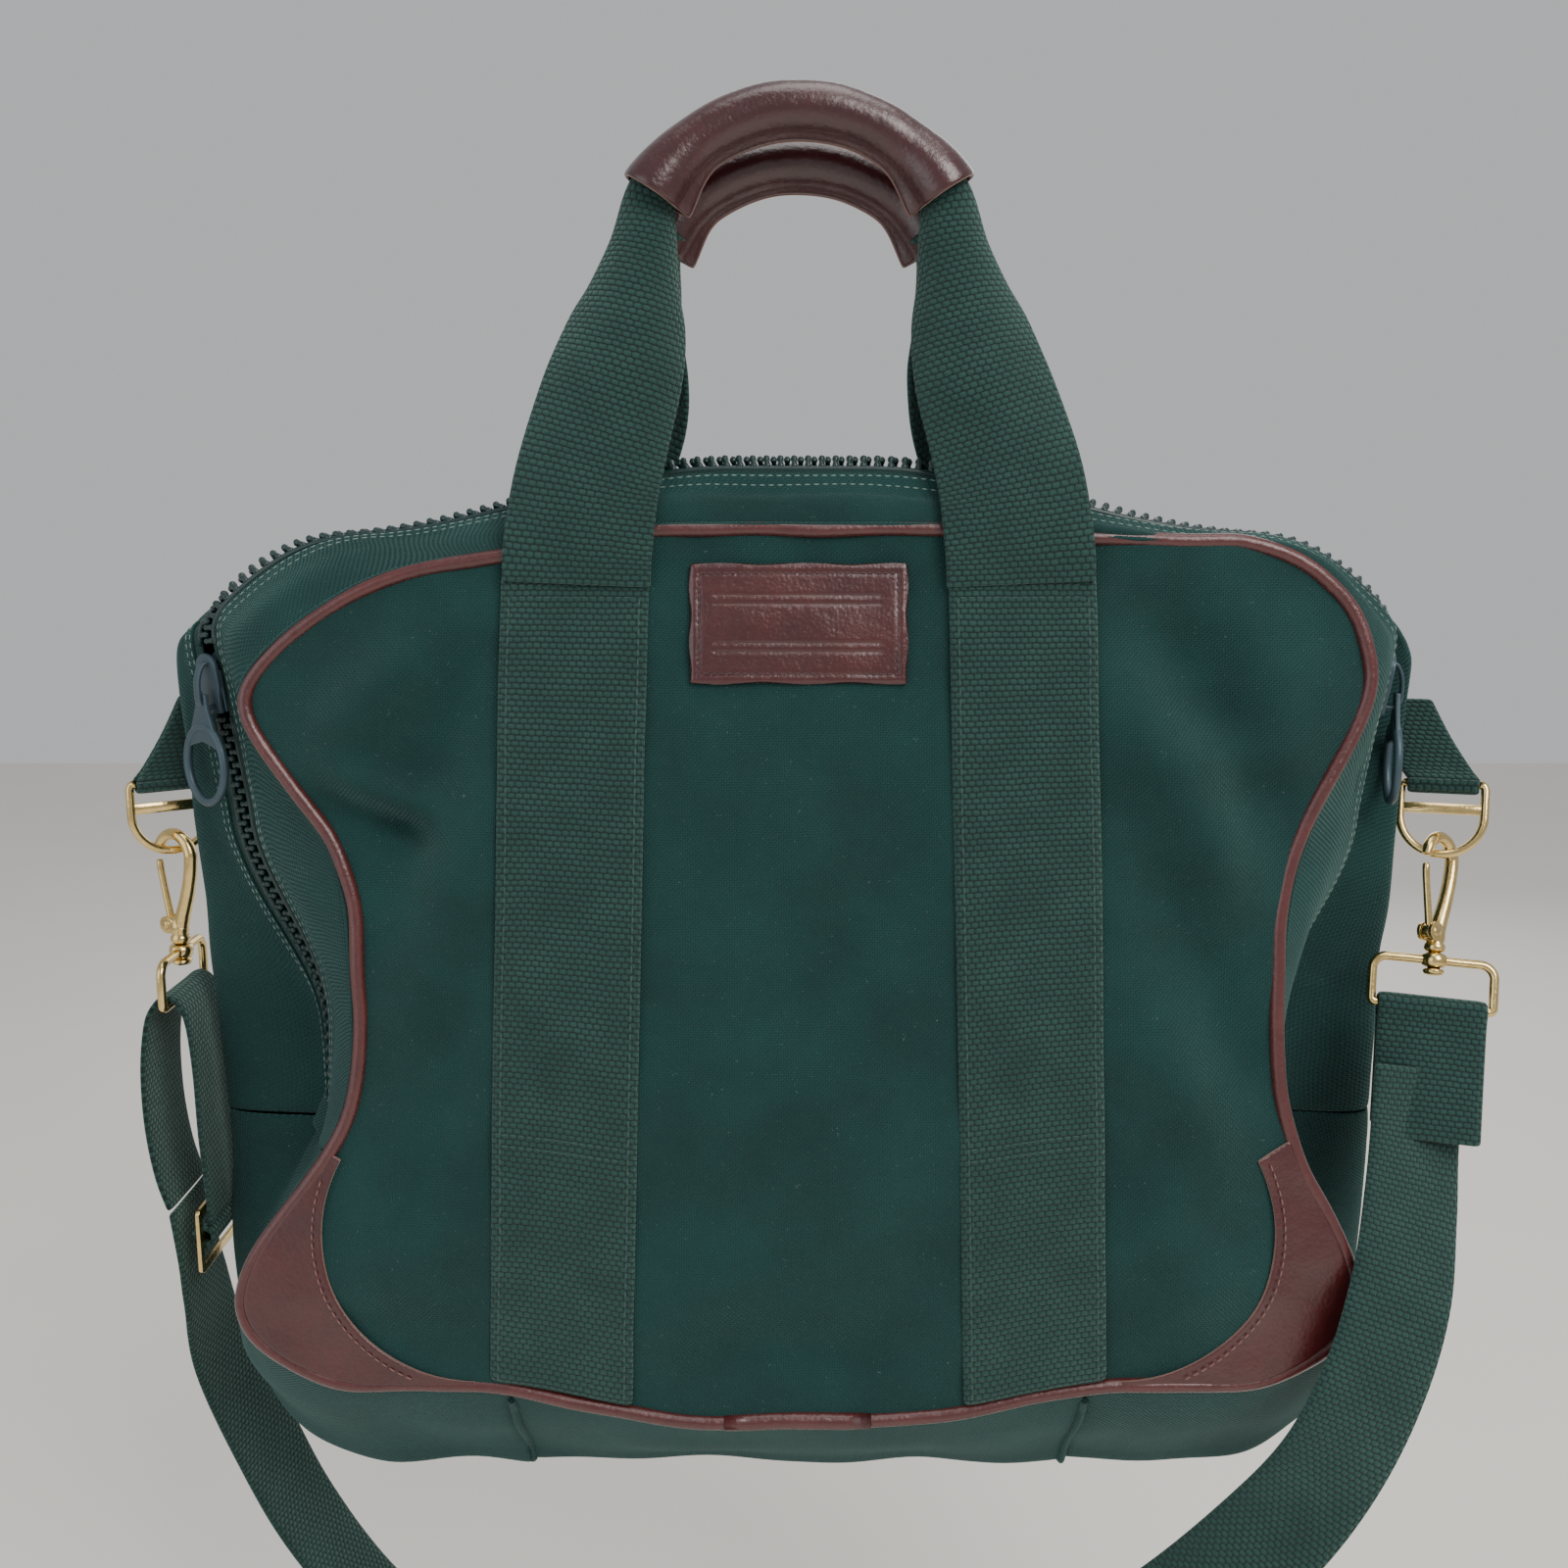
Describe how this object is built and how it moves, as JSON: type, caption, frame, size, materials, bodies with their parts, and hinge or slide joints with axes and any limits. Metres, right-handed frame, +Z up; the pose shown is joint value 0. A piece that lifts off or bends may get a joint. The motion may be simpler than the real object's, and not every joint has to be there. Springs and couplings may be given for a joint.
{
  "type": "messenger bag",
  "caption": "Green canvas briefcase-style messenger bag with leather trim, carry handles, a top zip and a clip-on shoulder strap, hanging by its handles.",
  "frame": {"origin": "hang point: underside of the carry grips at their apex, where a peg bears", "axes": "+X to the viewer's right, -Y out of the front face, +Z up as the bag hangs"},
  "size_m": [0.5047, 0.1312, 0.6375],
  "materials": {
    "canvas": "green cotton canvas, plain weave",
    "webbing": "green cotton webbing",
    "zipper_tape": "dark green zipper tape",
    "leather": "oiled red-brown leather, light gloss",
    "piping": "red-brown leather piping, semi-gloss",
    "zipper_teeth": "moulded dark green",
    "slider_paint": "blue-grey enamel",
    "brass": "polished"
  },
  "bodies": {
    "root": {"front_panel": "canvas", "back_panel": "canvas", "gusset_top_front": "canvas", "gusset_top_back": "canvas", "gusset_side_left": "canvas", "gusset_side_right": "canvas", "gusset_bottom": "canvas", "piping_front": "piping", "piping_back": "piping", "piping_joint_front": "leather", "piping_joint_back": "leather", "corner_patch_front_left": "leather", "corner_patch_front_right": "leather", "corner_patch_back_left": "leather", "corner_patch_back_right": "leather", "label_patch": "leather", "handle_band_front_left": "webbing", "handle_band_front_right": "webbing", "handle_band_back_left": "webbing", "handle_band_back_right": "webbing", "zipper_tape_front": "zipper_tape", "zipper_tape_back": "zipper_tape", "zipper_teeth_front": "zipper_teeth", "zipper_teeth_back": "zipper_teeth", "zipper_chain_left": "zipper_teeth", "zipper_chain_right": "zipper_teeth", "zipper_end_cover_left": "canvas", "zipper_end_cover_right": "canvas", "inner_pocket": "canvas", "d_ring_tab_left": "webbing", "d_ring_tab_right": "webbing", "shoulder_strap": "webbing", "strap_end_left": "webbing", "strap_end_right": "webbing", "strap_ring_left": "brass", "strap_ring_right": "brass"},
    "handle_front": {"handle_front_arm_left": "webbing", "handle_front_arm_right": "webbing", "handle_front_core": "webbing", "handle_front_grip": "leather"},
    "handle_back": {"handle_back_arm_left": "webbing", "handle_back_arm_right": "webbing", "handle_back_core": "webbing", "handle_back_grip": "leather"},
    "zip_slider_left": {"zip_slider_left": "slider_paint"},
    "zip_slider_right": {"zip_slider_right": "slider_paint"},
    "zip_pull_left": {"zip_pull_left": "slider_paint"},
    "zip_pull_right": {"zip_pull_right": "slider_paint"},
    "d_ring_left": {"d_ring_left": "brass"},
    "d_ring_right": {"d_ring_right": "brass"},
    "snap_hook_left": {"snap_hook_left": "brass", "gate_rivet_left": "brass"},
    "snap_hook_right": {"snap_hook_right": "brass", "gate_rivet_right": "brass"},
    "hook_gate_left": {"hook_gate_left": "brass"},
    "hook_gate_right": {"hook_gate_right": "brass"},
    "strap_slider": {"strap_slider": "brass", "strap_tail_loop": "webbing"}
  },
  "joints": [
    {"name": "handle_front_fold", "type": "hinge", "parent": "root", "child": "handle_front", "pos_m": [0, -0.0237, -0.1439], "axis": [1, 0, 0], "range_deg": [0, 160]},
    {"name": "handle_back_fold", "type": "hinge", "parent": "root", "child": "handle_back", "pos_m": [0, 0.0237, -0.1439], "axis": [-1, 0, 0], "range_deg": [0, 160]},
    {"name": "zip_slide_left", "type": "slide", "parent": "root", "child": "zip_slider_left", "axis": [0.1483, 0, -0.9889], "range_m": [0, 0.032]},
    {"name": "zip_pull_swing_left", "type": "hinge", "parent": "zip_slider_left", "child": "zip_pull_left", "pos_m": [-0.21258, -0.0052, -0.1877], "axis": [-0.788, 0.6157, 0], "range_deg": [0, 160]},
    {"name": "d_ring_swing_left", "type": "hinge", "parent": "root", "child": "d_ring_left", "pos_m": [-0.236, 0.02, -0.222], "axis": [0.8192, 0.5736, 0], "range_deg": [-4, 4]},
    {"name": "hook_swivel_left", "type": "hinge", "parent": "root", "child": "snap_hook_left", "pos_m": [-0.236, 0.02, -0.2507], "axis": [0, 0, 1], "range_deg": [-12, 12]},
    {"name": "hook_gate_left", "type": "hinge", "parent": "snap_hook_left", "child": "hook_gate_left", "pos_m": [-0.23971, 0.02197, -0.2777], "axis": [0.4695, 0.8829, 0], "range_deg": [0, 22], "stiffness_Nm_per_rad": 0.02, "springref_deg": -17.19},
    {"name": "zip_slide_right", "type": "slide", "parent": "root", "child": "zip_slider_right", "axis": [-0.1483, 0, -0.9889], "range_m": [0, 0.032]},
    {"name": "zip_pull_swing_right", "type": "hinge", "parent": "zip_slider_right", "child": "zip_pull_right", "pos_m": [0.21497, -0.00137, -0.1877], "axis": [-0.2079, -0.9781, 0], "range_deg": [0, 160]},
    {"name": "d_ring_swing_right", "type": "hinge", "parent": "root", "child": "d_ring_right", "pos_m": [0.2405, 0.014, -0.222], "axis": [0.9159, -0.4008, 0.0226], "range_deg": [-4, 4]},
    {"name": "hook_swivel_right", "type": "hinge", "parent": "root", "child": "snap_hook_right", "pos_m": [0.23718, 0.00489, -0.24901], "axis": [0.1156, 0.3173, 0.9413], "range_deg": [-12, 12]},
    {"name": "hook_gate_right", "type": "hinge", "parent": "snap_hook_right", "child": "hook_gate_right", "pos_m": [0.23074, -0.00596, -0.27325], "axis": [-0.601, 0.7768, -0.1881], "range_deg": [0, 22], "stiffness_Nm_per_rad": 0.02, "springref_deg": -17.19},
    {"name": "strap_adjust", "type": "slide", "parent": "root", "child": "strap_slider", "axis": [0, 0, 1], "range_m": [-0.02, 0]}
  ]
}
